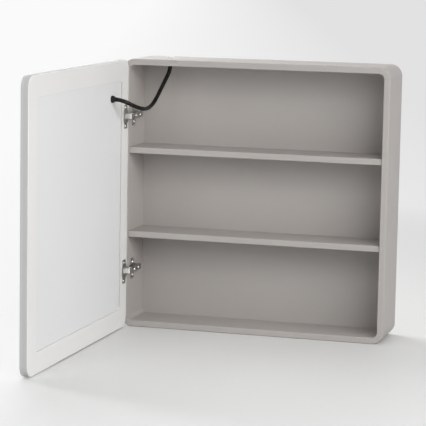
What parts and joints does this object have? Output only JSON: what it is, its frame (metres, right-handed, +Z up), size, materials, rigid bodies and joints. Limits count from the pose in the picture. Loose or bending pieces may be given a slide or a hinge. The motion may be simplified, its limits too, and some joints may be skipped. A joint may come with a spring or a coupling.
{
  "type": "lighted mirrored medicine cabinet",
  "caption": "Square wall-hung bathroom cabinet with rounded corners, inner shelves and a side-hinged mirror door edged by a light ring, fed by a flexible cable and shown open.",
  "frame": {"origin": "middle of the carcass underside, halfway between its front plane and the wall plane", "axes": "+Z up, +Y towards the wall, +X to the right seen from the front; the door is hinged at -X"},
  "size_m": [0.7045, 0.849, 0.7036],
  "materials": {
    "carcass_board": "light grey satin lacquer on fibreboard",
    "shelf_board": "light grey satin lacquer on fibreboard",
    "back_board": "light grey satin lacquer on thin fibreboard",
    "batten_wood": "plain fibreboard, sawn edges",
    "dowel_wood": "turned beech",
    "pin_steel": "zinc plated",
    "hanger_steel": "zinc plated, stamped",
    "screw_steel": "bright zinc",
    "hinge_nickel": "nickel plated, satin",
    "gland_plastic": "light grey polyamide",
    "cable_sheath": "black sleeve, slight sheen",
    "grommet_rubber": "black rubber",
    "door_board": "white satin lacquer on fibreboard",
    "ring_opal": "opal acrylic, satin",
    "mirror_silver": "silvered float glass",
    "cover_sheet": "white powder coat on aluminium composite",
    "led_board_white": "white solder mask",
    "led_chip_yellow": "phosphor",
    "driver_case": "white moulded case"
  },
  "bodies": {
    "cabinet": {"side_left": "carcass_board", "side_right": "carcass_board", "top_panel": "carcass_board", "bottom_panel": "carcass_board", "corner_top_left": "carcass_board", "corner_top_right": "carcass_board", "corner_bottom_left": "carcass_board", "corner_bottom_right": "carcass_board", "corner_dowels": "dowel_wood", "back_panel": "back_board", "shelf_upper": "shelf_board", "shelf_lower": "shelf_board", "shelf_pins": "pin_steel", "hanging_batten": "batten_wood", "hanger_plate_left": "hanger_steel", "hanger_plate_right": "hanger_steel", "hanger_screws": "screw_steel", "top_gland": "gland_plastic", "gland_nut": "gland_plastic", "light_cable": "cable_sheath", "hinge_plate_upper": "hinge_nickel", "hinge_plate_lower": "hinge_nickel", "plate_screws": "screw_steel", "hinge_arm_upper": "hinge_nickel", "hinge_arm_lower": "hinge_nickel", "arm_screws": "screw_steel"},
    "door": {"door_frame": "door_board", "light_ring": "ring_opal", "mirror_glass": "mirror_silver", "door_cover": "cover_sheet", "led_boards": "led_board_white", "led_chips": "led_chip_yellow", "led_driver": "driver_case", "door_grommet": "grommet_rubber", "hinge_cup_upper": "hinge_nickel", "hinge_cup_lower": "hinge_nickel", "cup_screws": "screw_steel", "hinge_pin_upper": "pin_steel", "hinge_pin_lower": "pin_steel"}
  },
  "joints": [
    {"name": "door_swing", "type": "hinge", "parent": "cabinet", "child": "door", "pos_m": [-0.341, -0.0845, 0.35], "axis": [0, 0, -1], "range_deg": [-90, 10], "deforming": ["light_cable"]}
  ]
}
